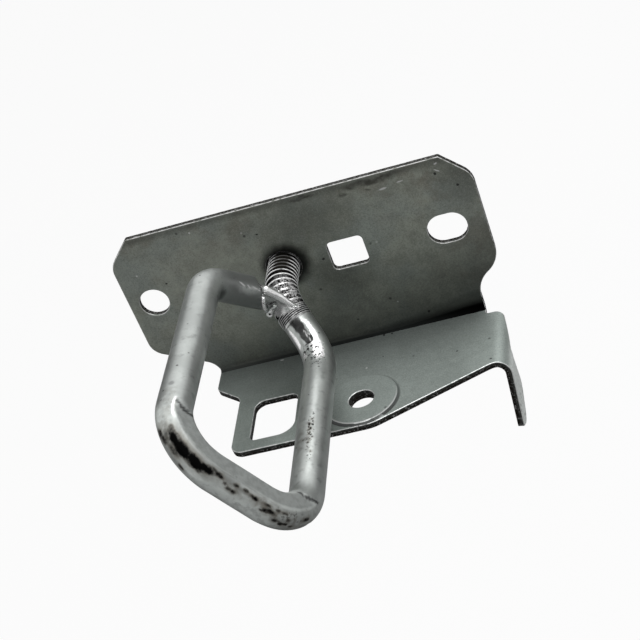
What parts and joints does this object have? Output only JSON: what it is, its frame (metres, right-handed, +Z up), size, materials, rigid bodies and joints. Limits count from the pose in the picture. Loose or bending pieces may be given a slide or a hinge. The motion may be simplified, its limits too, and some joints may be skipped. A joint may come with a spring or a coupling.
{
  "type": "bonnet lock striker",
  "caption": "Folded steel plate with a slotted flange, a pivot pad and a bent lip, carrying a closed loop of bent bar on a threaded shank for a vehicle bonnet latch to catch.",
  "frame": {"origin": "on the shank's axis at the back face of the upright plate, which seats on the bonnet frame", "axes": "+X along the plate towards the lip, +Y out of the back face into the bonnet frame, so the loop points along -Y, +Z up the plate away from the flange"},
  "size_m": [0.0881, 0.0996, 0.0652],
  "materials": {
    "zinc_sheet": "dull zinc-plated sheet, stained and lightly scratched",
    "zinc_bar": "dull zinc-plated bar with dark wear on its crossbar",
    "weld_metal": "bright smooth weld metal",
    "zinc_nut": "dull zinc-plated",
    "spring_steel": "dark oiled spring steel"
  },
  "bodies": {
    "plate": {"mounting_plate": "zinc_sheet", "weld_nut": "zinc_nut"},
    "washer": {"lock_washer": "spring_steel"},
    "striker": {"striker_rod": "zinc_bar", "closing_weld": "weld_metal", "lock_nut": "zinc_nut"}
  },
  "joints": [
    {"name": "striker_height", "type": "slide", "parent": "plate", "child": "washer", "axis": [0, 1, 0], "range_m": [0, 0.00424]},
    {"name": "striker_turn", "type": "hinge", "parent": "washer", "child": "striker", "pos_m": [0, 0, 0], "axis": [0, 1, 0], "range_deg": [0, 1080]}
  ],
  "couplings": [
    {"joint": "striker_height", "follows": "striker_turn", "m_per_rad": 0.00022457}
  ]
}
